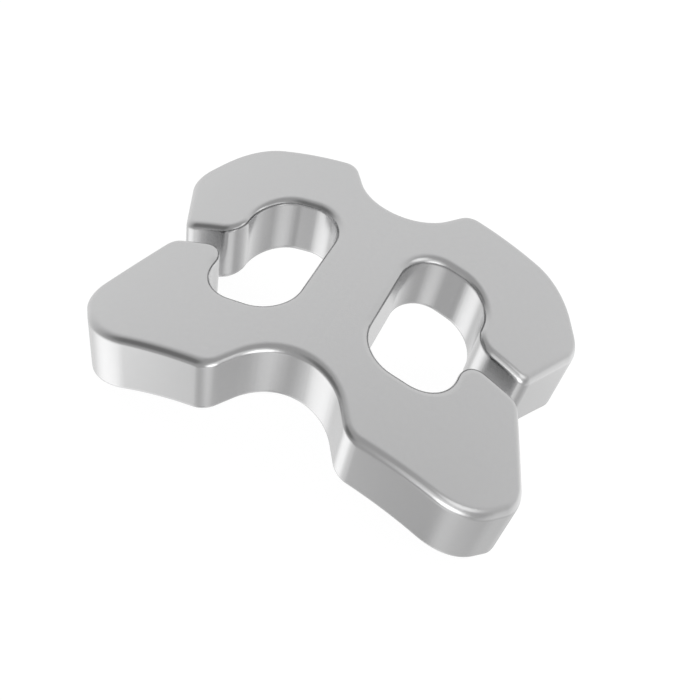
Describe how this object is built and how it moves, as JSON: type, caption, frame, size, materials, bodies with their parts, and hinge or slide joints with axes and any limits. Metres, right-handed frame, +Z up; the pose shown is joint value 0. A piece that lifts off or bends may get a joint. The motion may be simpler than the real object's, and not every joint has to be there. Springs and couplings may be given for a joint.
{
  "type": "suspensory fixation button",
  "caption": "Small arched bow-tie plate with side-opening slots, made to hold a loop of suture against bone.",
  "frame": {"origin": "on the ground plane, straight below the middle of the bridge between the slots", "axes": "+X along the plate's length and out through a gap, +Y across the plate, +Z up, out of the rounded top face"},
  "size_m": [0.012, 0.0082, 0.0043],
  "materials": {
    "titanium": "fine blasted satin titanium"
  },
  "bodies": {
    "root": {"button_plate": "titanium"}
  },
  "joints": []
}
